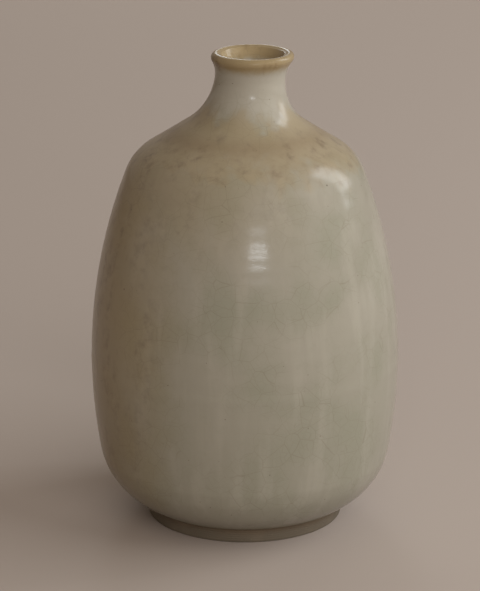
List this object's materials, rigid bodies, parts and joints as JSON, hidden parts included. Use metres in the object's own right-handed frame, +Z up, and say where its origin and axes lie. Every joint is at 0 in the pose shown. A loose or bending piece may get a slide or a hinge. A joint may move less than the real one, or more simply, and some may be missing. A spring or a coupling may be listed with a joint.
{
  "type": "bottle jar",
  "caption": "Tall barrel-bodied stoneware bottle jar with rounded shoulder, slightly leaning neck, flared open lip and foot ring, in pale celadon glaze that turns ochre on shoulder and lip.",
  "frame": {"origin": "on the ground, under the middle of the foot ring", "axes": "+Z up through the mouth, +X towards the side that the neck leans to"},
  "size_m": [0.195, 0.195, 0.3],
  "materials": {
    "bare_clay": "unglazed fired stoneware, matt, lightly gritty",
    "slip": "fired slip, matt",
    "celadon_glaze": "glossy pale grey-green glaze",
    "ochre_glaze": "glossy glaze, broken to ochre"
  },
  "bodies": {
    "root": {"foot_ring": "bare_clay", "foot_slip": "slip", "lower_bowl": "bare_clay", "waist_slip": "slip", "seam_coil": "bare_clay", "upper_bowl": "bare_clay", "neck_slip": "slip", "neck_collar": "bare_clay", "body_glaze": "celadon_glaze", "shoulder_glaze": "ochre_glaze", "neck_glaze": "celadon_glaze", "lip_glaze": "ochre_glaze", "inner_glaze": "celadon_glaze", "base_glaze": "celadon_glaze"}
  },
  "joints": []
}
